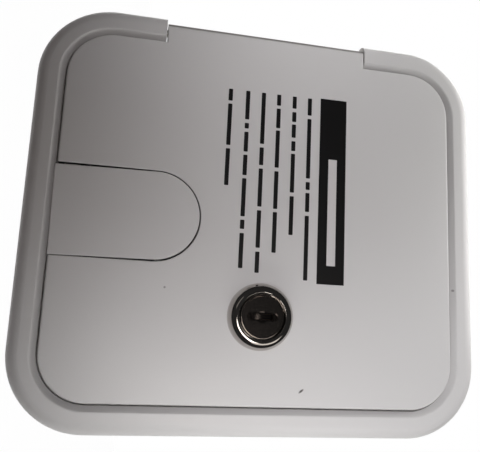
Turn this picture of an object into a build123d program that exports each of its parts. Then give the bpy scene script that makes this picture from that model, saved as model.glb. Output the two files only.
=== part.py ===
from build123d import *
import os
from math import cos, radians, sin

os.makedirs("parts", exist_ok=True)

# A lockable cord hatch for the side wall of a caravan. It is drawn lying on its back:
# X runs across it, Y runs up it, and Z is the height above the wall's outer face.
# stand_up() then turns every piece, so that Z is up and the door looks along -Y.
# All sizes are millimetres.

# Flange, the moulded ring that covers the edge of the wall's cut-out
flange_width = 162.0
flange_height = 181.0
flange_corner_radius = 29.0
flange_rise = 8.0
flange_edge_radius = 4.8
flange_wall = 2.5
band_width = 10.6
seam_slope_width = 2.1
seam_slope_drop = 1.8
crest_radius = 0.9
back_rib_thickness = 1.6
back_rib_pitch = 24.0
back_rib_setback = 1.0

# Ledge inside the flange, and the collar that passes through the wall
ledge_width = 9.9
ledge_thickness = 2.5
collar_depth = 33.0
collar_wall = 2.5
collar_corner_radius = 12.0
collar_lead_chamfer = 0.8
screw_hole_diameter = 4.4
screw_head_diameter = 7.8
screw_rows_spacing = 104.0

# Door
door_seam = 0.65
door_thickness = 2.5
door_edge_radius = 0.8
skirt_thickness = 2.0
skirt_ledge_gap = 0.5
door_rib_thickness = 1.6
lock_boss_diameter = 30.0
lock_boss_depth = 1.5

# Hinge along the door's left side
tab_low = -42.2
tab_high = 40.8
tab_gap = 0.4
tab_end_radius = 0.5
pin_diameter = 3.0
pin_inset = 6.0
barrel_diameter = 7.4
pin_running_gap = 0.06
pin_seat_gap = 0.04
pin_seat_length = 10.5
pin_seat_end_wall = 1.6

# Rubber door seal on the ledge
seal_width = 3.2
seal_inset = 0.3
seal_gap = 0.3
seal_edge_radius = 1.2

# Cord flap at the foot of the door
flap_centre_x = 0.8
flap_leg_length = 37.25
flap_half_width = 16.9
flap_gap = 0.5
flap_overhang = 0.6
flap_end_bevel = 0.9
flap_edge_radius = 0.35
flap_lean = 0.8
flap_pivot_depth = 1.9
trunnion_diameter = 2.2
trunnion_length = 3.0
trunnion_gap = 0.08
trunnion_root_diameter = 3.4
socket_length = 5.0
socket_height = 6.4
socket_depth = 1.9
socket_mouth = 1.9
flap_rib_depth = 0.9
flap_rib_offset = 11.0
flap_stop_reach = 1.2
flap_stop_gap = 0.2
flap_stop_thickness = 0.8
flap_stop_root_gap = 0.7
flap_skirt_depth = 4.5
flap_skirt_thickness = 1.2
flap_skirt_start = 1.2
flap_skirt_rake = 1.6
flap_lip_start = 3.1
flap_lip_reach = 1.1
flap_lip_thickness = 1.2

# Cam lock
lock_edge_distance = 33.15
lock_y = 0.0
bezel_overlap = 3.2
bezel_height = 5.0
dome_flank_width = 1.4
dome_flank_height = 3.3
rim_width = 0.55
rim_rounding = 0.3
lock_barrel_diameter = 19.0
lock_flat_depth = 1.5
lock_barrel_length = 14.6
barrel_hole_gap = 0.15
plug_head_diameter = 17.0
plug_head_thickness = 2.3
plug_head_sink = 0.4
plug_head_gap = 0.35
plug_rim_rounding = 0.6
plug_running_gap = 0.05
lock_barrel_wall = 2.95
wafer_channel_depth = 1.2
shank_across = 6.8
nut_wall = 2.5
nut_thickness = 4.0
lock_washer_thickness = 0.8
stack_gap = 0.05

# Keyway and wafers
face_slot_length = 12.0
face_slot_width = 3.2
face_slot_depth = 0.9
face_dimple_radius = 3.0
face_dimple_depth = 0.9
face_dish_depth = 0.25
face_dish_inset = 0.75
shutter_thickness = 0.6
shutter_gap = 0.05
shutter_crown_radius = 12.0
keyway_wall = 2.3
keyway_width = 2.0
wafer_count = 5
wafer_pitch = 2.2
wafer_thickness = 1.0
wafer_width = 5.6
wafer_gap = 0.06
wafer_first_depth = 4.4
wafer_lug_reach = 1.7
wafer_lug_height = 1.4
spring_diameter = 1.3
spring_wire = 0.26
spring_turns = 4
spring_facets = 8
spring_end_wall = 4.0

# Cam, its stop washer and its screw
stop_washer_thickness = 1.0
cam_overlap = 5.1
cam_width = 9.0
cam_thickness = 2.0
cam_square_gap = 0.05
cam_washer_thickness = 0.6
cam_screw_diameter = 4.0
cam_screw_length = 5.2
cam_screw_head_diameter = 8.0
cam_screw_head_height = 2.4

# Catch inside the collar, which the cam turns behind
catch_reach = 7.0
catch_thickness = 2.6
catch_length = 28.0
catch_gap = 0.3
catch_gusset_count = 3
catch_gusset_thickness = 1.8
catch_gusset_height = 4.0

# Places that several pieces share
opening_width = flange_width - 2 * band_width
opening_height = flange_height - 2 * band_width
opening_radius = flange_corner_radius - band_width
collar_width = opening_width - 2 * ledge_width
collar_height = opening_height - 2 * ledge_width
collar_inner_width = collar_width - 2 * collar_wall
collar_inner_height = collar_height - 2 * collar_wall
collar_inner_radius = collar_corner_radius - collar_wall
door_width = opening_width - 2 * door_seam
door_height = opening_height - 2 * door_seam
door_radius = opening_radius - door_seam
door_face = flange_rise
door_back = door_face - door_thickness
skirt_foot = ledge_thickness + skirt_ledge_gap
seal_top = door_back - seal_gap
seal_outer_width = collar_inner_width + 2 * (seal_inset + seal_width)
seal_outer_height = collar_inner_height + 2 * (seal_inset + seal_width)
seal_outer_radius = collar_inner_radius + seal_inset + seal_width
screw_x = (seal_outer_width + opening_width) / 4
pin_x = -(flange_width / 2 - pin_inset)
pin_height = door_face - barrel_diameter / 2
seat_low = tab_low - tab_gap
seat_high = tab_high + tab_gap
notch_half_width = flap_half_width + flap_gap
flap_pivot_height = door_face - flap_pivot_depth
flap_foot_y = -door_height / 2 - flap_overhang
flap_back = door_back
flap_pivot_y = -door_height / 2 + flap_leg_length
lock_x = door_width / 2 - lock_edge_distance
lock_barrel_flats = lock_barrel_diameter - 2 * lock_flat_depth
plug_diameter = lock_barrel_diameter - 2 * (lock_barrel_wall + plug_running_gap)
keyway_length = plug_diameter - 2 * keyway_wall
spring_length = plug_diameter - 2 * spring_end_wall
bezel_diameter = lock_barrel_diameter + 2 * bezel_overlap
nut_across = lock_barrel_diameter + 2 * nut_wall
barrel_end = door_face - lock_barrel_length
plug_face = door_face + bezel_height - plug_head_sink
plug_shoulder = plug_face - plug_head_thickness
nut_seat = door_back - lock_boss_depth
cam_front = barrel_end - stop_washer_thickness - 2 * stack_gap
cam_back = cam_front - cam_thickness
shank_end = cam_back + cam_thickness / 4
catch_back = cam_front + catch_gap
cam_reach = collar_inner_width / 2 - catch_reach + cam_overlap - lock_x
spring_x = wafer_width / 2 + wafer_lug_reach / 2


def stand_up(shape):
    """Turn a piece from lying on its back to hanging on the wall."""
    return Rot(90, 0, 0) * shape


def save(shape, name):
    export_step(stand_up(shape), f"parts/{name}.step")


def slab(width, height, radius, low, high):
    """A plate with rounded corners between two heights."""
    return extrude(Plane.XY.offset(low) * RectangleRounded(width, height, radius), high - low)


def block(x_low, x_high, y_low, y_high, z_low, z_high):
    """A straight-sided block from its six limits."""
    middle = Pos((x_low + x_high) / 2, (y_low + y_high) / 2, (z_low + z_high) / 2)
    return middle * Box(x_high - x_low, y_high - y_low, z_high - z_low)


def rod(radius, low, high, x=0.0, y=0.0):
    """A round bar along Z between two heights."""
    return Pos(x, y, (low + high) / 2) * Cylinder(radius, high - low)


def rod_up(radius, y_low, y_high, x, z):
    """A round bar along Y, such as the hinge pin."""
    return Pos(x, (y_low + y_high) / 2, z) * Rot(90, 0, 0) * Cylinder(radius, y_high - y_low)


def rod_across(radius, x_low, x_high, y, z):
    """A round bar along X, such as a trunnion."""
    return Pos((x_low + x_high) / 2, y, z) * Rot(0, 90, 0) * Cylinder(radius, x_high - x_low)


def edges_at(shape, height):
    """The edges of a shape that lie flat at one height."""
    return [e for e in shape.edges() if abs(e.bounding_box().min.Z - height) < 1e-4
            and abs(e.bounding_box().max.Z - height) < 1e-4]


def flange_groove():
    """The hollow back of the flange, left solid at its ribs and at the hinge pin's seats."""
    inner_width = opening_width + 2 * flange_wall
    inner_height = opening_height + 2 * flange_wall
    outer = slab(flange_width - 2 * flange_wall, flange_height - 2 * flange_wall,
                 flange_corner_radius - flange_wall, 0, flange_rise - flange_wall)
    groove = outer - slab(inner_width, inner_height, opening_radius + flange_wall,
                          0, flange_rise - flange_wall)
    half_rib = back_rib_thickness / 2
    rib_top = flange_rise
    side_start = inner_width / 2 - flange_wall
    end_start = inner_height / 2 - flange_wall
    straight_x = flange_width / 2 - flange_corner_radius
    straight_y = flange_height / 2 - flange_corner_radius
    steps_x = int(straight_x // back_rib_pitch)
    steps_y = int(straight_y // back_rib_pitch)
    for step in range(-steps_x, steps_x + 1):
        x = step * back_rib_pitch
        for y_low, y_high in ((end_start, flange_height / 2), (-flange_height / 2, -end_start)):
            groove -= block(x - half_rib, x + half_rib, y_low, y_high, back_rib_setback, rib_top)
    for step in range(-steps_y, steps_y + 1):
        y = step * back_rib_pitch
        groove -= block(side_start, flange_width / 2, y - half_rib, y + half_rib,
                        back_rib_setback, rib_top)
    seat_block_length = pin_seat_length + pin_seat_end_wall
    for y_low, y_high in ((seat_high, seat_high + seat_block_length),
                          (seat_low - seat_block_length, seat_low)):
        groove -= block(-flange_width / 2, -side_start, y_low, y_high, 0, rib_top)
    return groove


def catch():
    """The rib in the collar that holds the cam, on gussets, with a sloped lead-in at each end."""
    wall_x = collar_inner_width / 2 + collar_wall / 2
    tip_x = collar_inner_width / 2 - catch_reach
    front = catch_back + catch_thickness
    half = catch_length / 2
    lead = catch_thickness / 2
    side = Plane.YZ * make_face(Polyline(
        (lock_y - half, catch_back + lead), (lock_y - half + lead * 2, catch_back),
        (lock_y + half - lead * 2, catch_back), (lock_y + half, catch_back + lead),
        (lock_y + half, front), (lock_y - half, front), close=True))
    rib = Pos(tip_x, 0, 0) * extrude(side, wall_x - tip_x)
    spacing = (catch_length - catch_gusset_thickness) / (catch_gusset_count - 1)
    gusset = Plane.XZ * make_face(Polyline(
        (tip_x + catch_gusset_thickness, front), (wall_x, front),
        (wall_x, front + catch_gusset_height), close=True))
    for index in range(catch_gusset_count):
        y = lock_y - half + catch_gusset_thickness / 2 + index * spacing
        rib += Pos(0, y, 0) * extrude(gusset, catch_gusset_thickness / 2, both=True)
    return rib


def make_frame():
    """The moulded frame: flange, ledge, collar, pin seats and catch in one piece."""
    flange = slab(flange_width, flange_height, flange_corner_radius, 0, flange_rise)
    flange = fillet(edges_at(flange, flange_rise), flange_edge_radius)
    well = slab(opening_width, opening_height, opening_radius, ledge_thickness, flange_rise)
    slope = loft([
        Plane.XY.offset(flange_rise - seam_slope_drop)
        * RectangleRounded(opening_width, opening_height, opening_radius),
        Plane.XY.offset(flange_rise)
        * RectangleRounded(opening_width + 2 * seam_slope_width,
                           opening_height + 2 * seam_slope_width,
                           opening_radius + seam_slope_width)], ruled=True)
    flange -= well + slope
    crest_x = opening_width / 2 + seam_slope_width
    crest = [e for e in edges_at(flange, flange_rise) if e.bounding_box().max.X < crest_x + 0.01
             and e.bounding_box().min.X > -crest_x - 0.01]
    flange = fillet(crest, crest_radius)
    flange -= flange_groove()
    collar = slab(collar_width, collar_height, collar_corner_radius, -collar_depth, 0)
    collar = chamfer(edges_at(collar, -collar_depth), collar_lead_chamfer)
    frame = flange + collar
    frame -= slab(collar_inner_width, collar_inner_height, collar_inner_radius,
                  -collar_depth, ledge_thickness)
    frame -= block(-flange_width / 2, -opening_width / 2, seat_low, seat_high, 0, flange_rise)
    seat_radius = pin_diameter / 2 + pin_seat_gap
    for y_low, y_high in ((seat_high, seat_high + pin_seat_length),
                          (seat_low - pin_seat_length, seat_low)):
        frame -= block(pin_x - seat_radius, pin_x + seat_radius, y_low, y_high, 0, pin_height)
        frame -= rod_up(seat_radius, y_low, y_high, pin_x, pin_height)
    countersink = (screw_head_diameter - screw_hole_diameter) / 2
    for x in (-screw_x, screw_x):
        for y in (-screw_rows_spacing / 2, screw_rows_spacing / 2):
            frame -= rod(screw_hole_diameter / 2, 0, ledge_thickness, x, y)
            frame -= Pos(x, y, ledge_thickness - countersink / 2) * Cone(
                screw_hole_diameter / 2, screw_head_diameter / 2, countersink)
    return frame + catch()


def make_seal():
    """The rubber ring that lies on the ledge round the collar's mouth."""
    ring = slab(seal_outer_width, seal_outer_height, seal_outer_radius, ledge_thickness, seal_top)
    ring -= slab(seal_outer_width - 2 * seal_width, seal_outer_height - 2 * seal_width,
                 seal_outer_radius - seal_width, ledge_thickness, seal_top)
    return fillet(edges_at(ring, seal_top), seal_edge_radius)


def make_pin():
    """The straight hinge pin, with its ends broken."""
    length = seat_high - seat_low + 2 * pin_seat_length - 2 * pin_seat_gap
    pin = Cylinder(pin_diameter / 2, length)
    pin = chamfer(pin.edges().filter_by(GeomType.CIRCLE), pin_diameter / 10)
    return Pos(pin_x, (seat_low + seat_high) / 2, pin_height) * Rot(90, 0, 0) * pin


def arch(half_width, foot_y):
    """The mouse-hole outline of the cord opening: a half circle on straight legs."""
    left = flap_centre_x - half_width
    right = flap_centre_x + half_width
    outline = Polyline((left, flap_pivot_y), (left, foot_y), (right, foot_y), (right, flap_pivot_y))
    outline += ThreePointArc((right, flap_pivot_y), (flap_centre_x, flap_pivot_y + half_width),
                             (left, flap_pivot_y))
    return make_face(outline)


def arch_body(half_width, foot_y, low, high):
    return extrude(Plane.XY.offset(low) * arch(half_width, foot_y), high - low)


def double_d(diameter, flats, low, high):
    """The lock's round barrel with two flats, which keep it from turning in the door."""
    body = rod(diameter / 2, low, high, lock_x, lock_y)
    return body & block(lock_x - flats / 2, lock_x + flats / 2, lock_y - diameter,
                        lock_y + diameter, low, high)


def door_back_ribs():
    """Ribs behind the door: round the cord opening, across the panel and round the lock."""
    below = flap_foot_y
    ribs = arch_body(notch_half_width + door_rib_thickness, below, skirt_foot, door_back)
    half = door_rib_thickness / 2
    top_rib_y = collar_inner_height / 4
    for x in (-collar_inner_width / 4, flap_centre_x, lock_x):
        ribs += block(x - half, x + half, flap_pivot_y, collar_inner_height / 2,
                      skirt_foot, door_back)
    for y in (top_rib_y, lock_y):
        ribs += block(-collar_inner_width / 2, collar_inner_width / 2, y - half, y + half,
                      skirt_foot, door_back)
    for side in (-1, 1):
        inner = flap_centre_x + side * notch_half_width
        outer = inner + side * socket_length
        ribs += block(min(inner, outer), max(inner, outer), flap_pivot_y - socket_height / 2,
                      flap_pivot_y + socket_height / 2, door_back - socket_depth, door_back)
    clear_width = collar_inner_width - 2 * seal_inset
    clear_height = collar_inner_height - 2 * seal_inset
    ribs &= slab(clear_width, clear_height, collar_inner_radius, skirt_foot, door_back)
    ribs -= rod(lock_boss_diameter / 2, skirt_foot, door_back, lock_x, lock_y)
    return ribs + rod(lock_boss_diameter / 2, nut_seat, door_back, lock_x, lock_y)


def flap_stops():
    """Two thin lips behind the legs of the cord opening, which the closed flap rests on."""
    top = flap_back - flap_stop_gap
    low_y = -collar_inner_height / 2 + seal_inset
    high_y = flap_pivot_y - trunnion_root_diameter / 2 - flap_stop_root_gap
    stops = None
    for side in (-1, 1):
        edge = flap_centre_x + side * (notch_half_width + door_rib_thickness / 2)
        tip = flap_centre_x + side * (notch_half_width - flap_stop_reach)
        lip = block(min(edge, tip), max(edge, tip), low_y, high_y, top - flap_stop_thickness, top)
        stops = lip if stops is None else stops + lip
    return stops


def make_door():
    """The moulded door with its skirt, its hinge barrel, and the openings for flap and lock."""
    panel = slab(door_width, door_height, door_radius, skirt_foot, door_face)
    panel = fillet(edges_at(panel, door_face), door_edge_radius)
    panel -= slab(door_width - 2 * skirt_thickness, door_height - 2 * skirt_thickness,
                  door_radius - skirt_thickness, skirt_foot, door_back)
    tab = block(pin_x, -door_width / 2 + skirt_thickness, tab_low, tab_high, door_back, door_face)
    barrel = rod_up(barrel_diameter / 2, tab_low, tab_high, pin_x, pin_height)
    tab_limits = block(-flange_width / 2, 0, tab_low, tab_high, 0, door_face)
    ends = [e for e in edges_at(tab_limits, door_face) if e.bounding_box().min.X < -1
            and e.bounding_box().max.Y - e.bounding_box().min.Y < 1e-4]
    hinge = (tab + barrel) & fillet(ends, tab_end_radius)
    door = panel + hinge + door_back_ribs()
    notch = arch_body(notch_half_width, -opening_height / 2, skirt_foot, door_face)
    door -= notch
    rim = [e for e in edges_at(door, door_face)
           if e.bounding_box().min.X > flap_centre_x - notch_half_width - 0.01
           and e.bounding_box().max.X < flap_centre_x + notch_half_width + 0.01
           and e.bounding_box().max.Y < flap_pivot_y + notch_half_width + 0.01]
    door = fillet(rim, flap_edge_radius)
    door += flap_stops()
    door -= rod_up(pin_diameter / 2 + pin_running_gap, tab_low, tab_high, pin_x, pin_height)
    hole = trunnion_diameter / 2 + trunnion_gap
    for side in (-1, 1):
        inner = flap_centre_x + side * flap_half_width
        outer = flap_centre_x + side * (flap_half_width + trunnion_length + flap_gap)
        x_low, x_high = min(inner, outer), max(inner, outer)
        door -= rod_across(hole, x_low, x_high, flap_pivot_y, flap_pivot_height)
        door -= block(x_low, x_high, flap_pivot_y - socket_mouth / 2,
                      flap_pivot_y + socket_mouth / 2, skirt_foot, flap_pivot_height)
    door -= double_d(lock_barrel_diameter + 2 * barrel_hole_gap,
                     lock_barrel_flats + 2 * barrel_hole_gap, nut_seat, door_face)
    return door


def make_flap():
    """The swinging flap that closes the cord opening, standing slightly askew in it."""
    thickness = door_face - flap_back
    plate = arch_body(flap_half_width, flap_foot_y, flap_back, door_face)
    foot_cut = Plane.YZ * make_face(Polyline(
        (flap_foot_y, door_face), (flap_foot_y + flap_end_bevel, flap_back),
        (flap_foot_y - thickness, flap_back), (flap_foot_y - thickness, door_face), close=True))
    plate -= Pos(flap_centre_x, 0, 0) * extrude(foot_cut, 2 * flap_half_width, both=True)
    plate = fillet(edges_at(plate, door_face), flap_edge_radius)
    middle_y = (flap_pivot_y + flap_half_width + flap_foot_y) / 2
    lean = Pos(flap_centre_x, middle_y, 0) * Rot(0, 0, flap_lean) * Pos(-flap_centre_x, -middle_y, 0)
    skirt_low = flap_back - flap_skirt_depth
    skirt_foot_y = flap_pivot_y - flap_skirt_thickness
    skirt = arch_body(flap_half_width, skirt_foot_y, skirt_low, flap_back)
    skirt -= arch_body(flap_half_width - flap_skirt_thickness, skirt_foot_y, skirt_low, flap_back)
    skirt_start_y = flap_pivot_y + flap_skirt_start
    ends_cut = Plane.YZ * make_face(Polyline(
        (skirt_foot_y, flap_back), (skirt_start_y, flap_back),
        (skirt_start_y + flap_skirt_rake, skirt_low), (skirt_foot_y, skirt_low), close=True))
    skirt -= Pos(flap_centre_x, 0, 0) * extrude(ends_cut, 2 * flap_half_width, both=True)
    lip_half_width = flap_half_width + flap_lip_reach
    lip = arch_body(lip_half_width, skirt_foot_y, skirt_low, skirt_low + flap_lip_thickness)
    lip -= arch_body(flap_half_width - flap_skirt_thickness / 2, skirt_foot_y, skirt_low,
                     skirt_low + flap_lip_thickness)
    lip -= block(-flap_half_width * 2, flap_half_width * 2, skirt_foot_y - flap_skirt_depth,
                 flap_pivot_y + flap_lip_start, skirt_low, flap_back)
    flap = lean * (plate + skirt + lip)
    rib_low = -collar_inner_height / 2 + seal_width
    rib_high = flap_pivot_y + flap_half_width / 3
    half = door_rib_thickness / 2
    for x in (flap_centre_x - flap_rib_offset, flap_centre_x + flap_rib_offset):
        flap += block(x - half, x + half, rib_low, rib_high, flap_back - flap_rib_depth, flap_back)
    for side in (-1, 1):
        root_inner = flap_centre_x + side * flap_rib_offset
        root_outer = flap_centre_x + side * (flap_half_width - flap_gap)
        tip = flap_centre_x + side * (flap_half_width + trunnion_length)
        root = rod_across(trunnion_root_diameter / 2, min(root_inner, root_outer),
                          max(root_inner, root_outer), flap_pivot_y, flap_pivot_height)
        flap += root
        flap += rod_across(trunnion_diameter / 2, min(root_inner, tip), max(root_inner, tip),
                           flap_pivot_y, flap_pivot_height)
    return flap


def lock_place(shape):
    return Pos(lock_x, lock_y, 0) * shape


def turned(points_and_arcs):
    """A turned piece on the lock's axis, from its half outline in radius and height."""
    return lock_place(revolve(Plane.XZ * make_face(points_and_arcs), Axis.Z))


def wafer_height(index):
    return plug_shoulder - wafer_first_depth - index * wafer_pitch


def make_lock_body():
    """The lock's die-cast body: domed bezel, flatted barrel, wafer channels and quarter-turn stop."""
    bore = plug_diameter / 2 + plug_running_gap
    recess = plug_head_diameter / 2 + plug_head_gap
    bezel = bezel_diameter / 2
    dome_top = door_face + bezel_height
    dome_top_radius = recess + rim_width
    outline = Polyline((bore, barrel_end), (lock_barrel_diameter / 2, barrel_end),
                       (lock_barrel_diameter / 2, door_face), (bezel, door_face))
    outline += Bezier((bezel, door_face), (bezel, door_face + dome_flank_height),
                      (bezel - dome_flank_width, dome_top), (dome_top_radius, dome_top))
    outline += Polyline((dome_top_radius, dome_top), (recess, dome_top),
                        (recess, plug_shoulder - stack_gap), (bore, plug_shoulder - stack_gap),
                        (bore, barrel_end))
    body = turned(outline)
    inner_rim = [e for e in edges_at(body, dome_top) if e.radius < dome_top_radius - 0.1]
    body = fillet(inner_rim, rim_rounding)
    flats = lock_barrel_flats / 2
    for side in (-1, 1):
        x_in = lock_x + side * flats
        x_out = lock_x + side * bezel
        body -= block(min(x_in, x_out), max(x_in, x_out), lock_y - bezel, lock_y + bezel,
                      barrel_end, door_face)
    channel = wafer_width + 2 * wafer_gap
    channel_top = wafer_height(0) + wafer_thickness
    stop_end = barrel_end - stop_washer_thickness
    stop = double_d(lock_barrel_diameter, lock_barrel_flats, stop_end, barrel_end)
    stop -= rod(bore, stop_end, barrel_end, lock_x, lock_y)
    body += stop & block(lock_x - bezel, lock_x + bezel, lock_y - bezel, lock_y - stack_gap,
                         stop_end, barrel_end)
    body -= block(lock_x - channel / 2, lock_x + channel / 2, lock_y - bore - wafer_channel_depth,
                  lock_y + bore + wafer_channel_depth, stop_end, channel_top)
    return body


def make_plug():
    """The turning plug: bright face with keyway, slotted barrel and square shank."""
    head = lock_place(Pos(0, 0, plug_shoulder + plug_head_thickness / 2)
                      * Cylinder(plug_head_diameter / 2, plug_head_thickness))
    head = fillet(edges_at(head, plug_face), plug_rim_rounding)
    dish_radius = plug_head_diameter / 2 - face_dish_inset
    head -= lock_place(Pos(0, 0, plug_face - face_dish_depth / 2)
                       * Cone(dish_radius - face_dish_depth, dish_radius, face_dish_depth))
    plug = head + rod(plug_diameter / 2, barrel_end, plug_shoulder, lock_x, lock_y)
    half = shank_across / 2
    shank = block(lock_x - half, lock_x + half, lock_y - half, lock_y + half,
                  shank_end, barrel_end)
    plug += fillet(shank.edges().filter_by(Axis.Z), shank_across / 10)
    slot = lock_place(Pos(0, 0, plug_face - face_slot_depth)
                      * extrude(SlotOverall(face_slot_length, face_slot_width, rotation=90),
                                face_slot_depth))
    plug -= slot
    ball_radius = (face_dimple_radius ** 2 + face_dimple_depth ** 2) / (2 * face_dimple_depth)
    plug -= lock_place(Pos(0, 0, plug_face - face_dimple_depth + ball_radius)
                       * Sphere(ball_radius))
    keyway_end = wafer_height(wafer_count - 1) - wafer_thickness
    plug -= block(lock_x - keyway_width / 2, lock_x + keyway_width / 2,
                  lock_y - keyway_length / 2, lock_y + keyway_length / 2, keyway_end, plug_face)
    slot_half = wafer_width / 2 + wafer_gap
    for index in range(wafer_count):
        z = wafer_height(index)
        thick = wafer_thickness / 2 + wafer_gap
        plug -= block(lock_x - slot_half, lock_x + slot_half, lock_y - plug_diameter,
                      lock_y + plug_diameter, z - thick, z + thick)
        pocket = spring_diameter / 2 + wafer_gap
        plug -= block(lock_x + slot_half - wafer_gap, lock_x + spring_x + pocket,
                      lock_y - spring_length / 2 - wafer_lug_height - wafer_gap,
                      lock_y + spring_length / 2 + wafer_gap, z - pocket, z + pocket)
    bore_top = cam_back + cam_screw_length
    plug -= rod(cam_screw_diameter / 2 + stack_gap, shank_end, bore_top, lock_x, lock_y)
    return plug


def make_shutter():
    """The crowned dust shutter that closes the keyway just behind the plug's face."""
    top = plug_face - face_slot_depth - shutter_gap
    half_width = keyway_width / 2 - shutter_gap
    half_length = keyway_length / 2 - shutter_gap
    plate = block(lock_x - half_width, lock_x + half_width, lock_y - half_length,
                  lock_y + half_length, top - 2 * shutter_thickness, top)
    crown = rod_across(shutter_crown_radius, lock_x - half_width, lock_x + half_width,
                       lock_y, top - shutter_crown_radius)
    return plate & crown


def make_wafer(index):
    """One sprung wafer, drawn in flush with the plug as the key would hold it."""
    z = wafer_height(index)
    half = wafer_thickness / 2
    plate = rod(plug_diameter / 2 - wafer_gap, z - half, z + half, lock_x, lock_y)
    plate &= block(lock_x - wafer_width / 2, lock_x + wafer_width / 2, lock_y - plug_diameter,
                   lock_y + plug_diameter, z - half, z + half)
    window = keyway_width / 2 + wafer_gap
    plate -= block(lock_x - window, lock_x + window, lock_y - keyway_length / 2 + index / 4,
                   lock_y + keyway_length / 2 - wafer_lug_height + index / 4, z - half, z + half)
    lug_top = lock_y - spring_length / 2 - wafer_gap
    return plate + block(lock_x + window, lock_x + spring_x + spring_diameter / 2,
                         lug_top - wafer_lug_height + wafer_gap, lug_top, z - half, z + half)


def make_wafer_spring(index):
    """The small coil spring between a wafer's lug and the end of its pocket, in flat facets."""
    coil = (spring_diameter - spring_wire) / 2
    travel = spring_length - spring_wire - 2 * wafer_gap
    steps = spring_turns * spring_facets
    route = []
    for step in range(steps + 1):
        angle = radians(step * 360 / spring_facets)
        route.append((coil * cos(angle), coil * sin(angle), travel * step / steps))
    path = Polyline(*route)
    start = Plane(origin=path @ 0, z_dir=path % 0)
    wire = sweep(start * Rectangle(spring_wire, spring_wire), path=path, transition=Transition.RIGHT)
    return Pos(lock_x + spring_x, lock_y + travel / 2, wafer_height(index)) * Rot(90, 0, 0) * wire


def make_lock_nut():
    """The thin hexagon nut that clamps the lock to the door from behind."""
    top = nut_seat - lock_washer_thickness - 2 * stack_gap
    hexagon = extrude(RegularPolygon(nut_across / 2, 6, major_radius=False), nut_thickness)
    nut = Pos(lock_x, lock_y, top - nut_thickness) * hexagon
    corner = nut_across / 2 / cos(radians(30))
    rounding = turned(Polyline((0, top - nut_thickness), (corner - 1, top - nut_thickness),
                               (corner, top - nut_thickness + 0.6), (corner, top), (0, top),
                               close=True))
    nut &= rounding
    return nut - rod(lock_barrel_diameter / 2 + stack_gap, top - nut_thickness, top, lock_x, lock_y)


def make_lock_washer():
    """The toothed washer under the nut."""
    top = nut_seat - stack_gap
    low = top - lock_washer_thickness
    outer = nut_across / 2 - 0.6
    inner = lock_barrel_diameter / 2 + stack_gap
    washer = rod(outer, low, top, lock_x, lock_y) - rod(inner, low, top, lock_x, lock_y)
    tooth_count = 12
    for index in range(tooth_count):
        turn = Rot(0, 0, index * 360 / tooth_count)
        notch = Pos(outer, 0, (low + top) / 2) * Box(1.6, 1.4, top - low)
        washer -= lock_place(turn * notch)
    return washer


def square_hole(low, high):
    half = shank_across / 2 + cam_square_gap
    return block(lock_x - half, lock_x + half, lock_y - half, lock_y + half, low, high)


def make_stop_washer():
    """The washer on the shank whose lobe limits the lock to a quarter turn."""
    top = barrel_end - stack_gap
    low = top - stop_washer_thickness
    disc_radius = plug_diameter / 2
    washer = rod(disc_radius, low, top, lock_x, lock_y)
    lobe = rod(lock_barrel_flats / 2, low, top, lock_x, lock_y)
    lobe &= block(lock_x, lock_x + lock_barrel_diameter, lock_y, lock_y + lock_barrel_diameter,
                  low, top)
    return washer + lobe - square_hole(low, top)


def make_cam():
    """The steel cam. It hangs down when the lock is open and turns behind the catch to lock."""
    hub = Circle(shank_across * 0.98)
    tip_centre = -(cam_reach - cam_width / 2)
    arm = Pos(0, tip_centre / 2) * Rectangle(cam_width, -tip_centre)
    plate = hub + arm + Pos(0, tip_centre) * Circle(cam_width / 2)
    cam = lock_place(Pos(0, 0, cam_back) * extrude(plate, cam_thickness))
    cam -= square_hole(cam_back, cam_front)
    return chamfer(edges_at(cam, cam_front), cam_thickness / 8)


def make_cam_washer():
    """The split spring washer under the cam screw's head."""
    top = cam_back - stack_gap
    low = top - cam_washer_thickness
    radius = cam_screw_head_diameter / 2
    washer = rod(radius, low, top, lock_x, lock_y)
    washer -= rod(cam_screw_diameter / 2 + stack_gap, low, top, lock_x, lock_y)
    split = Rot(0, 0, 20) * Pos(radius, 0, (low + top) / 2) * Box(2 * radius, 0.6, top - low)
    return washer - lock_place(split)


def make_cam_screw():
    """The screw that holds the cam on the shank, with a cross recess in its head."""
    seat = cam_back - cam_washer_thickness - 2 * stack_gap
    head_end = seat - cam_screw_head_height
    shank = rod(cam_screw_diameter / 2, seat, cam_back + cam_screw_length - 4 * stack_gap,
                lock_x, lock_y)
    head = lock_place(Pos(0, 0, (seat + head_end) / 2)
                      * Cylinder(cam_screw_head_diameter / 2, cam_screw_head_height))
    head = fillet(edges_at(head, head_end), cam_screw_head_height / 2)
    screw = head + shank
    arm = cam_screw_head_diameter * 0.55
    for turn in (0, 90):
        recess = Rot(0, 0, turn) * Box(arm, cam_screw_diameter / 4, cam_screw_head_height)
        screw -= lock_place(Pos(0, 0, head_end) * recess)
    return screw


save(make_frame(), "frame")
save(make_pin(), "hinge_pin")
save(make_seal(), "door_seal")
save(make_door(), "door")
save(make_flap(), "cord_flap")
save(make_lock_body(), "lock_body")
save(make_lock_nut(), "lock_nut")
save(make_lock_washer(), "lock_washer")
save(make_plug(), "lock_plug")
save(make_shutter(), "keyway_shutter")
for number in range(wafer_count):
    save(make_wafer(number), f"wafer_{number + 1}")
    save(make_wafer_spring(number), f"wafer_spring_{number + 1}")
save(make_stop_washer(), "stop_washer")
save(make_cam(), "lock_cam")
save(make_cam_washer(), "cam_washer")
save(make_cam_screw(), "cam_screw")
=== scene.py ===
import math

import bmesh
import bpy
from mathutils import Matrix, Vector


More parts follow.
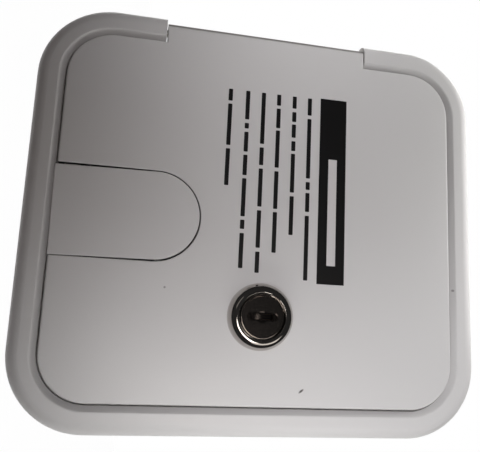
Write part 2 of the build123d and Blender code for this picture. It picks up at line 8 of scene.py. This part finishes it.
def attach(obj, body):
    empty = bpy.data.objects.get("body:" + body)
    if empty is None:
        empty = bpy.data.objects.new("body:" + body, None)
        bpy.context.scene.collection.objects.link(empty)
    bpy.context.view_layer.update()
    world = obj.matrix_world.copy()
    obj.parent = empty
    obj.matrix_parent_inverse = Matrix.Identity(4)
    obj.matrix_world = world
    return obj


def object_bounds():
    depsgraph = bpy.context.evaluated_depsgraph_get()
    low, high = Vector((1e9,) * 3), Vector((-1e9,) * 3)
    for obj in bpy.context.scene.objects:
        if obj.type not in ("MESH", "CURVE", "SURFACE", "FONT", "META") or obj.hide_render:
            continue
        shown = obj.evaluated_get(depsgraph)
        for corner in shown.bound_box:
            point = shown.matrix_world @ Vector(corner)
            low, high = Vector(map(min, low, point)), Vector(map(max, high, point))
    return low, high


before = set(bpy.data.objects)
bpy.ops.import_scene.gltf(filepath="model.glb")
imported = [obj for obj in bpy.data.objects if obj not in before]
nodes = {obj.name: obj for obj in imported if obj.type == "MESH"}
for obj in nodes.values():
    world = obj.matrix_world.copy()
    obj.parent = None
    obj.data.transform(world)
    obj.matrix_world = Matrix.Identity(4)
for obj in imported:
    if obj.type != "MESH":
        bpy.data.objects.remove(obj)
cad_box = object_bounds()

MM = 0.001

# Places on the door and its flap that the finishes and the print follow, in millimetres
door_face = -8.0
door_back = -5.5
flap_middle_x = 0.8
flap_pivot_z = -42.0


# The camera, held close over the door and turned so that the hinge is at the top of the picture

camera_place = Vector((0.0387, -0.2164, -0.0481))
look = Vector((-0.16912, 0.96895, 0.18037)).normalized()
picture_right = Vector((-0.04737, -0.19079, 0.98049))
picture_right = (picture_right - picture_right.dot(look) * look).normalized()
picture_up = picture_right.cross(look)

camera = bpy.data.cameras.new("camera")
camera.lens = 41.69
camera.sensor_width = 36
camera.sensor_fit = "HORIZONTAL"
camera.clip_start = 0.01
camera_object = bpy.data.objects.new("camera", camera)
bpy.context.collection.objects.link(camera_object)
turn = Matrix((picture_right, picture_up, -look)).transposed()
camera_object.matrix_world = Matrix.Translation(camera_place) @ turn.to_4x4()
bpy.context.scene.camera = camera_object
bpy.context.scene.view_settings.view_transform = "Standard"


def linear(hex_code):
    """An sRGB hex colour as the linear RGBA that the shaders take."""
    channels = [int(hex_code[i:i + 2], 16) / 255 for i in (1, 3, 5)]
    return [c / 12.92 if c <= 0.04045 else ((c + 0.055) / 1.055) ** 2.4 for c in channels] + [1]


def add(tree, kind, inputs=None, **settings):
    """A node with its settings; each input is a value or the socket that feeds it."""
    made = tree.nodes.new(kind)
    for name, value in settings.items():
        setattr(made, name, value)
    for key, value in (inputs or {}).items():
        if isinstance(value, bpy.types.NodeSocket):
            tree.links.new(value, made.inputs[key])
        else:
            made.inputs[key].default_value = value
    return made


# Light: a soft key over the lock's side and three weaker beams, which leave the hinge's lower corner dim,
# white cards beside the flange, panels for the lock's highlights, and a pale tent behind the hatch

def lamp(name, kind, place, target, watts, hex_code="#ffffff", roll=0.0):
    """A lamp at a place in metres, aimed at a target and unseen by the camera."""
    light = bpy.data.lights.new(name, kind)
    light.energy = watts
    light.color = linear(hex_code)[:3]
    holder = bpy.data.objects.new(name, light)
    bpy.context.collection.objects.link(holder)
    holder.location = place
    away = Vector(target) - Vector(place)
    facing = away.to_track_quat("-Z", "Y").to_matrix() @ Matrix.Rotation(math.radians(roll), 3, "Z")
    holder.rotation_euler = facing.to_euler()
    holder.visible_camera = False
    return holder


def panel(name, place, target, size, watts, hex_code="#ffffff", roll=0.0):
    """A flat rectangular lamp."""
    holder = lamp(name, "AREA", place, target, watts, hex_code, roll)
    holder.data.shape = "RECTANGLE"
    holder.data.size, holder.data.size_y = size
    return holder


# Beams: name, place, target, watts, full angle in radians, radius of the lamp, colour
for name, place, target, watts, angle, radius, tint in (
        ("soft_key", (0.085, -0.325, -0.055), (0.095, -0.008, 0.05), 3.0, 0.93, 0.07, "#fbfaff"),
        ("upper_spot", (-0.12, -0.28, 0.02), (-0.105, -0.008, 0.012), 1.46, 0.75, 0.05, "#fbfaff"),
        ("left_spot", (-0.02, -0.30, -0.06), (-0.01, -0.008, -0.03), 0.39, 0.9, 0.05, "#fff2f0"),
        ("right_spot", (0.02, -0.20, 0.22), (0.02, -0.008, 0.11), 0.20, 0.6, 0.05, "#fbfaff")):
    beam = lamp(name, "SPOT", place, target, watts, tint)
    beam.data.spot_size = angle
    beam.data.spot_blend = 1.0
    beam.data.shadow_soft_size = radius
    beam.visible_glossy = False

# White cards just outside three sides, which light the rounded edge of the flange there: name, place, target,
# size, watts
for name, place, target, size, watts in (
        ("right_card", (-0.03, -0.03, 0.155), (-0.03, 0.0, 0.085), (0.15, 0.035), 0.115),
        ("lower_card", (0.17, -0.06, 0.0), (0.075, 0.0, -0.005), (0.05, 0.16), 0.085),
        ("upper_card", (-0.155, -0.035, 0.06), (-0.083, 0.0, 0.06), (0.035, 0.12), 0.035)):
    panel(name, place, target, size, watts).visible_glossy = False

panel("back_fill", (-0.5, 0.6, 0.5), (0, 0, 0), (0.5, 0.5), 3.0)

# Panels that the plated lock mirrors, and that light nothing else: name, place, size, watts, roll in degrees
lock_face = (0.0366, -0.012, 0.0)
for name, place, size, watts, roll in (
        ("strip", (0.13, -0.40, -0.01), (0.10, 0.16), 0.25, -45),
        ("low_panel", (0.26, -0.385, 0.13), (0.16, 0.30), 0.16, 0),
        ("corner_panel", (-0.10, -0.34, -0.16), (0.05, 0.14), 0.008, 30)):
    panel(name, place, lock_face, size, watts, "#fff8f2", roll).visible_diffuse = False

# The tent lights the hatch mostly from behind. The camera sees it white all round. Reflections see it white
# behind the hatch and nearly dark in front of it, as in a dim room.
world = bpy.data.worlds.new("light_tent")
bpy.context.scene.world = world
world.use_nodes = True
tree = world.node_tree
tree.nodes.clear()
ray = add(tree, "ShaderNodeLightPath")
seen = add(tree, "ShaderNodeMath", {0: ray.outputs["Is Camera Ray"], 1: ray.outputs["Is Glossy Ray"]},
           operation="MAXIMUM")
seen = add(tree, "ShaderNodeMath", {0: seen.outputs[0], 1: ray.outputs["Is Transmission Ray"]},
           operation="MAXIMUM")
way = add(tree, "ShaderNodeTexCoord")
ahead = add(tree, "ShaderNodeSeparateXYZ", {"Vector": way.outputs["Generated"]})
glow = add(tree, "ShaderNodeMapRange", {"Value": ahead.outputs["Y"], "From Min": -0.1, "From Max": 0.7,
                                        "To Min": 0.03, "To Max": 0.5})
tent = add(tree, "ShaderNodeBackground", {"Color": linear("#f6ebea"), "Strength": glow.outputs["Result"]})
dim = add(tree, "ShaderNodeMapRange", {"Value": ahead.outputs["Y"], "From Min": 0.0, "From Max": 0.3,
                                       "To Min": 0.028, "To Max": 1.0}, interpolation_type="SMOOTHSTEP")
mirrored = add(tree, "ShaderNodeMath", {0: 1.0, 1: ray.outputs["Is Camera Ray"]}, operation="SUBTRACT")
shine = add(tree, "ShaderNodeMix", {"Factor": mirrored.outputs[0], "A": 1.0, "B": dim.outputs["Result"]},
            data_type="FLOAT")
white = add(tree, "ShaderNodeBackground", {"Color": (1, 1, 1, 1), "Strength": shine.outputs["Result"]})
both = add(tree, "ShaderNodeMixShader", {0: seen.outputs[0], 1: tent.outputs[0], 2: white.outputs[0]})
add(tree, "ShaderNodeOutputWorld", {"Surface": both.outputs[0]})


def new_material(name):
    """An empty material and its node tree."""
    made = bpy.data.materials.new(name)
    made.use_nodes = True
    made.node_tree.nodes.clear()
    return made, made.node_tree


def mesh_piece(name, bm, material, smooth=True):
    """A piece made of the given faces."""
    mesh = bpy.data.meshes.new(name)
    bmesh.ops.recalc_face_normals(bm, faces=bm.faces)
    bm.to_mesh(mesh)
    bm.free()
    for polygon in mesh.polygons:
        polygon.use_smooth = smooth
    mesh.materials.append(material)
    piece = bpy.data.objects.new(name, mesh)
    bpy.context.collection.objects.link(piece)
    return piece


# Floor: white backdrop paper, whose fibres give a faint uneven white, just under the hatch

floor_half_width = 4.0
floor_gap = 0.3 * MM
fibre_scale = 400.0
glow_share = 0.985

paper, tree = new_material("white_backdrop_paper")
ray = add(tree, "ShaderNodeLightPath")
fibre = add(tree, "ShaderNodeTexNoise", {"Scale": fibre_scale, "Detail": 3.0})
shade = add(tree, "ShaderNodeMix", {"Factor": fibre.outputs["Fac"], "A": linear("#f6f6f5"),
                                    "B": linear("#f9f9f8")}, data_type="RGBA")
paper_lit = add(tree, "ShaderNodeBsdfDiffuse", {"Color": shade.outputs["Result"]})
paper_glow = add(tree, "ShaderNodeEmission", {"Color": (1, 1, 1, 1), "Strength": 1.0})
seen = add(tree, "ShaderNodeMath", {0: ray.outputs["Is Camera Ray"], 1: ray.outputs["Is Glossy Ray"]},
           operation="MAXIMUM")
share = add(tree, "ShaderNodeMath", {0: seen.outputs[0], 1: glow_share}, operation="MULTIPLY")
paper_mix = add(tree, "ShaderNodeMixShader", {0: share.outputs[0], 1: paper_lit.outputs[0],
                                              2: paper_glow.outputs[0]})
add(tree, "ShaderNodeOutputMaterial", {"Surface": paper_mix.outputs[0]})

bm = bmesh.new()
bmesh.ops.create_grid(bm, x_segments=2, y_segments=2, size=floor_half_width)
floor = mesh_piece("floor", bm, paper)
floor.location = (0, 0, cad_box[0][2] - floor_gap)
floor.visible_diffuse = False
floor.visible_glossy = False
floor.visible_shadow = False


# Materials. Sizes are in millimetres.

def mark_mask(tree, place, centre, half_size, angle, soft=0.35):
    """A soft-edged ellipse on the face, 1 inside and 0 outside."""
    half_depth = 20.0
    turned = add(tree, "ShaderNodeMapping", {
        "Vector": place, "Location": (-centre[0] * MM, 0, -centre[1] * MM)}, vector_type="POINT")
    turned = add(tree, "ShaderNodeMapping", {
        "Vector": turned.outputs[0], "Rotation": (0, math.radians(angle), 0)}, vector_type="POINT")
    turned = add(tree, "ShaderNodeMapping", {
        "Vector": turned.outputs[0],
        "Scale": (1 / (half_size[0] * MM), 1 / (half_depth * MM), 1 / (half_size[1] * MM))},
        vector_type="POINT")
    reach = add(tree, "ShaderNodeVectorMath", {0: turned.outputs[0]}, operation="LENGTH")
    return add(tree, "ShaderNodeMapRange", {
        "Value": reach.outputs["Value"], "From Min": 1 - soft, "From Max": 1 + soft, "To Min": 1.0,
        "To Max": 0.0}, interpolation_type="SMOOTHSTEP").outputs["Result"]


def painted_gap_shade(tree, place):
    """Masks for painted shade: on the walls of the seam round the door, and deeper in the gap round the flap.
    """
    gap_radius, gap_reach = 17.3, 0.8
    shade_start, shade_full = door_face + 0.15, door_face + 0.6
    seam_end, seam_full = door_back - 0.02, door_back - 0.1
    flap_shade_end, flap_shade_full = -1.3, -2.0

    apart = add(tree, "ShaderNodeSeparateXYZ", {"Vector": place})
    depth = apart.outputs["Y"]
    below_face = add(tree, "ShaderNodeMapRange", {
        "Value": depth, "From Min": shade_start * MM, "From Max": shade_full * MM}).outputs["Result"]
    in_seam = add(tree, "ShaderNodeMapRange", {
        "Value": depth, "From Min": seam_end * MM, "From Max": seam_full * MM}).outputs["Result"]
    in_flap_gap = add(tree, "ShaderNodeMapRange", {
        "Value": depth, "From Min": flap_shade_end * MM, "From Max": flap_shade_full * MM}).outputs["Result"]
    seam = add(tree, "ShaderNodeMath", {0: below_face, 1: in_seam}, operation="MULTIPLY")

    # How far a point is from the middle line of the flap's arch, and from there to the gap
    across = add(tree, "ShaderNodeMath", {0: apart.outputs["X"], 1: flap_middle_x * MM}, operation="SUBTRACT")
    up = add(tree, "ShaderNodeMath", {0: apart.outputs["Z"], 1: flap_pivot_z * MM}, operation="SUBTRACT")
    up = add(tree, "ShaderNodeMath", {0: up.outputs[0], 1: 0.0}, operation="MAXIMUM")
    reach = add(tree, "ShaderNodeCombineXYZ", {"X": across.outputs[0], "Y": up.outputs[0]})
    reach = add(tree, "ShaderNodeVectorMath", {0: reach.outputs[0]}, operation="LENGTH")
    near = add(tree, "ShaderNodeMath", {0: reach.outputs["Value"], 1: gap_radius * MM, 2: gap_reach * MM},
               operation="COMPARE")
    round_flap = add(tree, "ShaderNodeMath", {0: in_flap_gap, 1: below_face}, operation="MULTIPLY")
    round_flap = add(tree, "ShaderNodeMath", {0: near.outputs[0], 1: round_flap.outputs[0]},
                     operation="MULTIPLY")
    return seam.outputs[0], round_flap.outputs[0]


def moulded_abs(name, marks=(), shaded_gaps=False):
    """White injection-moulded ABS: an even semi-gloss with a faint orange peel from the tool's satin finish,
    and on pieces with shaded gaps a painted shade in the narrow gaps."""
    cloud_size, sheen_size, peel_size, peel_height = 70, 22, 1.1, 0.02
    made, tree = new_material(name)
    place = add(tree, "ShaderNodeTexCoord").outputs["Object"]
    cloud = add(tree, "ShaderNodeTexNoise", {"Vector": place, "Scale": 1 / (cloud_size * MM), "Detail": 2.0})
    colour = add(tree, "ShaderNodeMix", {"Factor": cloud.outputs["Fac"], "A": linear("#d2d0ce"),
                                         "B": linear("#d7d6d3")}, data_type="RGBA").outputs["Result"]
    for centre, half_size, angle, strength, shade in marks:
        mask = mark_mask(tree, place, centre, half_size, angle)
        mask = add(tree, "ShaderNodeMath", {0: mask, 1: strength}, operation="MULTIPLY").outputs[0]
        colour = add(tree, "ShaderNodeMix", {"Factor": mask, "A": colour, "B": linear(shade)},
                     data_type="RGBA").outputs["Result"]
    # Painted shade: the walls of the seam and of the gap round the flap are darkened in the colour, for the
    # shade that falls there
    if shaded_gaps:
        for mask, shade in zip(painted_gap_shade(tree, place), ("#6a6561", "#322f2d")):
            colour = add(tree, "ShaderNodeMix", {"Factor": mask, "A": colour, "B": linear(shade)},
                         data_type="RGBA").outputs["Result"]
    sheen = add(tree, "ShaderNodeTexNoise", {"Vector": place, "Scale": 1 / (sheen_size * MM), "Detail": 3.0})
    rough = add(tree, "ShaderNodeMapRange", {"Value": sheen.outputs["Fac"], "To Min": 0.36, "To Max": 0.46})
    peel = add(tree, "ShaderNodeTexNoise", {"Vector": place, "Scale": 1 / (peel_size * MM), "Detail": 2.0})
    relief = add(tree, "ShaderNodeBump", {"Height": peel.outputs["Fac"], "Strength": 0.25,
                                          "Distance": peel_height * MM})
    shader = add(tree, "ShaderNodeBsdfPrincipled", {
        "Base Color": colour, "Roughness": rough.outputs["Result"], "IOR": 1.53,
        "Normal": relief.outputs["Normal"]})
    add(tree, "ShaderNodeOutputMaterial", {"Surface": shader.outputs[0]})
    return made


def plated_casting(name, light, dark, roughness, grain, grain_height, thread_pitch=None, shaded_recess_y=None):
    """Bright nickel over a zinc casting: mirror-like, with the casting's faint waviness under the plate."""
    made, tree = new_material(name)
    place = add(tree, "ShaderNodeTexCoord").outputs["Object"]
    along = add(tree, "ShaderNodeSeparateXYZ", {"Vector": place}).outputs["Y"]
    haze = add(tree, "ShaderNodeTexNoise", {"Vector": place, "Scale": 1 / (grain * MM), "Detail": 4.0})
    colour = add(tree, "ShaderNodeMix", {"Factor": haze.outputs["Fac"], "A": linear(dark),
                                         "B": linear(light)}, data_type="RGBA").outputs["Result"]
    rough = add(tree, "ShaderNodeMapRange", {"Value": haze.outputs["Fac"], "To Min": roughness[0],
                                             "To Max": roughness[1]}).outputs["Result"]
    height, relief_height = haze.outputs["Fac"], grain_height
    if shaded_recess_y is not None:
        # The slot and the key's entry: a painted shade darkens their colour, and they are glossier
        painted_recess_shade, recess_roughness = "#5f5955", 0.16
        sunk = add(tree, "ShaderNodeMath", {0: along, 1: shaded_recess_y * MM}, operation="GREATER_THAN").outputs[0]
        colour = add(tree, "ShaderNodeMix", {"Factor": sunk, "A": colour, "B": linear(painted_recess_shade)},
                     data_type="RGBA").outputs["Result"]
        rough = add(tree, "ShaderNodeMix", {"Factor": sunk, "A": rough, "B": recess_roughness},
                    data_type="FLOAT").outputs["Result"]
    if thread_pitch is not None:
        # The rolled thread on the barrel behind the door, whose crests are one pitch apart
        thread_start, relief_height = -5.2, 0.35
        wave = add(tree, "ShaderNodeMath", {0: along, 1: thread_pitch * MM}, operation="PINGPONG")
        wave = add(tree, "ShaderNodeMath", {0: wave.outputs[0], 1: 2 / (thread_pitch * MM)},
                   operation="MULTIPLY")
        behind = add(tree, "ShaderNodeMath", {0: along, 1: thread_start * MM}, operation="GREATER_THAN")
        height = add(tree, "ShaderNodeMath", {0: wave.outputs[0], 1: behind.outputs[0]},
                     operation="MULTIPLY").outputs[0]
    relief = add(tree, "ShaderNodeBump", {"Height": height, "Strength": 0.6,
                                          "Distance": relief_height * MM})
    shader = add(tree, "ShaderNodeBsdfPrincipled", {
        "Base Color": colour, "Metallic": 1.0, "Roughness": rough, "Normal": relief.outputs["Normal"]})
    add(tree, "ShaderNodeOutputMaterial", {"Surface": shader.outputs[0]})
    return made


def stamped_metal(name, light, dark, roughness, grain, stretch=(1, 1, 1)):
    """Rolled or drawn metal: fine lines along the way it was drawn, under cloudy plating or tarnish."""
    cloud_size, line_height = 3, 0.02
    made, tree = new_material(name)
    place = add(tree, "ShaderNodeTexCoord").outputs["Object"]
    cloud = add(tree, "ShaderNodeTexNoise", {"Vector": place, "Scale": 1 / (cloud_size * MM), "Detail": 3.0})
    colour = add(tree, "ShaderNodeMix", {"Factor": cloud.outputs["Fac"], "A": linear(dark),
                                         "B": linear(light)}, data_type="RGBA")
    drawn = add(tree, "ShaderNodeMapping", {"Vector": place, "Scale": stretch}, vector_type="POINT")
    lines = add(tree, "ShaderNodeTexNoise", {"Vector": drawn.outputs[0], "Scale": 1 / (grain * MM),
                                             "Detail": 3.0})
    rough = add(tree, "ShaderNodeMapRange", {"Value": lines.outputs["Fac"], "To Min": roughness[0],
                                             "To Max": roughness[1]})
    relief = add(tree, "ShaderNodeBump", {"Height": lines.outputs["Fac"], "Strength": 0.3,
                                          "Distance": line_height * MM})
    shader = add(tree, "ShaderNodeBsdfPrincipled", {
        "Base Color": colour.outputs["Result"], "Metallic": 1.0, "Roughness": rough.outputs["Result"],
        "Normal": relief.outputs["Normal"]})
    add(tree, "ShaderNodeOutputMaterial", {"Surface": shader.outputs[0]})
    return made


def extruded_rubber(name):
    """Black EPDM rubber: nearly matt, with a fine pebble and a slight grey bloom."""
    bloom_size, pebble_size, pebble_height = 6, 0.35, 0.05
    made, tree = new_material(name)
    place = add(tree, "ShaderNodeTexCoord").outputs["Object"]
    bloom = add(tree, "ShaderNodeTexNoise", {"Vector": place, "Scale": 1 / (bloom_size * MM), "Detail": 4.0})
    colour = add(tree, "ShaderNodeMix", {"Factor": bloom.outputs["Fac"], "A": linear("#161617"),
                                         "B": linear("#29292a")}, data_type="RGBA")
    pebble = add(tree, "ShaderNodeTexNoise", {"Vector": place, "Scale": 1 / (pebble_size * MM),
                                              "Detail": 2.0})
    relief = add(tree, "ShaderNodeBump", {"Height": pebble.outputs["Fac"], "Strength": 0.5,
                                          "Distance": pebble_height * MM})
    rough = add(tree, "ShaderNodeMapRange", {"Value": bloom.outputs["Fac"], "To Min": 0.62, "To Max": 0.8})
    shader = add(tree, "ShaderNodeBsdfPrincipled", {
        "Base Color": colour.outputs["Result"], "Roughness": rough.outputs["Result"], "IOR": 1.52,
        "Normal": relief.outputs["Normal"]})
    add(tree, "ShaderNodeOutputMaterial", {"Surface": shader.outputs[0]})
    return made


def screen_ink(name, light, dark):
    """Screen-printed ink: flat and slightly duller than the moulding, a little uneven in its cover."""
    cover_size = 0.8
    made, tree = new_material(name)
    place = add(tree, "ShaderNodeTexCoord").outputs["Object"]
    cover = add(tree, "ShaderNodeTexNoise", {"Vector": place, "Scale": 1 / (cover_size * MM), "Detail": 3.0})
    colour = add(tree, "ShaderNodeMix", {"Factor": cover.outputs["Fac"], "A": linear(dark),
                                         "B": linear(light)}, data_type="RGBA")
    rough = add(tree, "ShaderNodeMapRange", {"Value": cover.outputs["Fac"], "To Min": 0.45, "To Max": 0.58})
    shader = add(tree, "ShaderNodeBsdfPrincipled", {
        "Base Color": colour.outputs["Result"], "Roughness": rough.outputs["Result"], "IOR": 1.5})
    add(tree, "ShaderNodeOutputMaterial", {"Surface": shader.outputs[0]})
    return made


# Marks on the moulding: centre (X, Z), half sizes, angle in degrees, strength, colour
scuff = ((63.5, 17.1), (0.42, 1.2), 38.0, 0.95, "#3a3733")
door_speck = ((27.5, -36.6), (0.45, 0.45), 0.0, 0.6, "#5c5652")
frame_speck = ((22.1, 81.1), (0.5, 0.5), 0.0, 0.6, "#57524e")

# The door and the flap carry painted shade in their gaps
white_door = moulded_abs("white_moulded_abs_door", (scuff, door_speck), shaded_gaps=True)
white_frame = moulded_abs("white_moulded_abs_frame", (frame_speck,))
white_flap = moulded_abs("white_moulded_abs_flap", shaded_gaps=True)
bright_nickel = plated_casting("bright_nickel_bezel", "#cbc7c2", "#b9b4af", (0.05, 0.11), 4.0, 0.008,
                               thread_pitch=1.0)
# The plug's slot and key entry carry painted shade below the given depth
satin_nickel = plated_casting("satin_nickel_plug", "#a69e98", "#8a837d", (0.09, 0.16), 0.5, 0.03,
                              shaded_recess_y=-12.2)
zinc_plate = stamped_metal("zinc_plated_steel", "#c6c9cb", "#aeb0ad", (0.28, 0.42), 0.3)
stainless = stamped_metal("drawn_stainless_pin", "#bcbab7", "#aaa8a5", (0.2, 0.32), 0.15, (1, 1, 0.05))
brass = stamped_metal("stamped_brass", "#d0ab62", "#b8934c", (0.25, 0.4), 0.25)
spring_wire = stamped_metal("drawn_spring_wire", "#b3b3b5", "#929296", (0.25, 0.38), 0.1)
rubber = extruded_rubber("black_epdm_rubber")
black_ink = screen_ink("black_screen_ink", "#131213", "#09090a")
light_ink = screen_ink("bare_moulding_in_print", "#d6d3d1", "#cfccca")

finishes = {
    "frame": white_frame, "door": white_door, "cord_flap": white_flap, "hinge_pin": stainless,
    "door_seal": rubber, "lock_body": bright_nickel, "lock_plug": satin_nickel,
    "keyway_shutter": satin_nickel,
}
finishes.update(dict.fromkeys(
    ("lock_nut", "lock_washer", "stop_washer", "lock_cam", "cam_washer", "cam_screw"), zinc_plate))
for name, piece in nodes.items():
    finish = finishes.get(name) or (spring_wire if "spring" in name else brass)
    piece.data.materials.clear()
    piece.data.materials.append(finish)


# Print on the door: plain fields of ink, each a film that lies on the face. Sizes are in millimetres.

ink_film = 0.03
ink_bed = 0.02
corner_steps = 5


def ink_field(name, x_from, x_to, z_low, z_high, corner, material, lift=0.0):
    """A rounded rectangle of ink on the door's face, bedded a little into it."""
    bm = bmesh.new()
    outline = []
    corners = ((x_to - corner, z_high - corner, 0), (x_from + corner, z_high - corner, 90),
               (x_from + corner, z_low + corner, 180), (x_to - corner, z_low + corner, 270))
    for centre_x, centre_z, start in corners:
        for i in range(corner_steps + 1):
            angle = math.radians(start + 90 * i / corner_steps)
            outline.append((centre_x + corner * math.cos(angle), centre_z + corner * math.sin(angle)))
    inner, outer = [[bm.verts.new((x * MM, y * MM, z * MM)) for x, z in outline]
                    for y in (door_face + ink_bed, door_face - ink_film - lift)]
    for i in range(len(outline)):
        j = (i + 1) % len(outline)
        bm.faces.new((inner[i], inner[j], outer[j], outer[i]))
    bm.faces.new(inner)
    bm.faces.new(outer)
    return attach(mesh_piece(name, bm, material, smooth=False), "door")


ink_field("print_bar", -53.8, 22.9, 22.1, 33.4, 0.15, black_ink)
ink_field("print_bar_stripe", -28.0, 15.5, 26.0, 29.6, 0.3, light_ink, lift=0.02)

# Each line of small print is a row of plain bars: the middle of the line, and where its bars start and end
bar_half_height = 0.85
bar_corner = 0.3
print_rows = (
    (17.5, ((-53.2, -45.8), (-44.3, -19.2), (-17.7, -14.5), (-13.2, -5.5), (-3.9, 21.8))),
    (11.0, ((-53.2, -48.0), (-46.5, -42.3), (-41.2, -35.6), (-34.1, -30.0), (-28.8, -12.8), (-11.3, 4.3))),
    (4.4, ((-53.2, -48.5), (-47.2, -38.9), (-37.9, -22.4), (-20.9, -5.6), (-4.3, 11.8))),
    (-2.0, ((-53.2, -31.6), (-30.1, -22.8), (-21.4, -6.0), (-4.5, 10.3), (11.8, 20.0))),
    (-8.5, ((-53.2, -41.1), (-39.6, -37.3), (-35.9, -27.7), (-26.4, -18.1), (-16.8, -1.6), (-0.2, 3.4),
            (5.0, 18.6))),
    (-15.6, ((-53.2, -48.2), (-46.9, -29.7), (-28.3, -13.4))),
)
for row, (z, bars) in enumerate(print_rows, 1):
    for number, (x_from, x_to) in enumerate(bars, 1):
        ink_field(f"print_row_{row}_{number}", x_from, x_to, z - bar_half_height, z + bar_half_height,
                  bar_corner, black_ink)


def gap_shade_strip(name, x_from, x_to):
    """A thin black rubber strip on the flap's edge beside its pivot, standing for the shade in the gap; it
    fills the gap and turns with it.
    """
    low = (x_from, door_face + 0.45, flap_pivot_z - 5.0)
    high = (x_to, door_back - 0.1, flap_pivot_z + 3.4)
    bm = bmesh.new()
    bmesh.ops.create_cube(bm, size=1.0)
    for vertex in bm.verts:
        vertex.co = Vector([(high[i] if vertex.co[i] > 0 else low[i]) * MM for i in range(3)])
    bmesh.ops.bevel(bm, geom=bm.edges[:], offset=0.06 * MM, segments=2, profile=0.5, affect="EDGES")
    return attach(mesh_piece(name, bm, rubber), "cord_flap")


# Dark strips that stand for the shade in the flap's gap beside its pivot
gap_shade_strip("flap_gap_shade_strip_left", -16.56, -16.28)
gap_shade_strip("flap_gap_shade_strip_right", 17.74, 18.15)
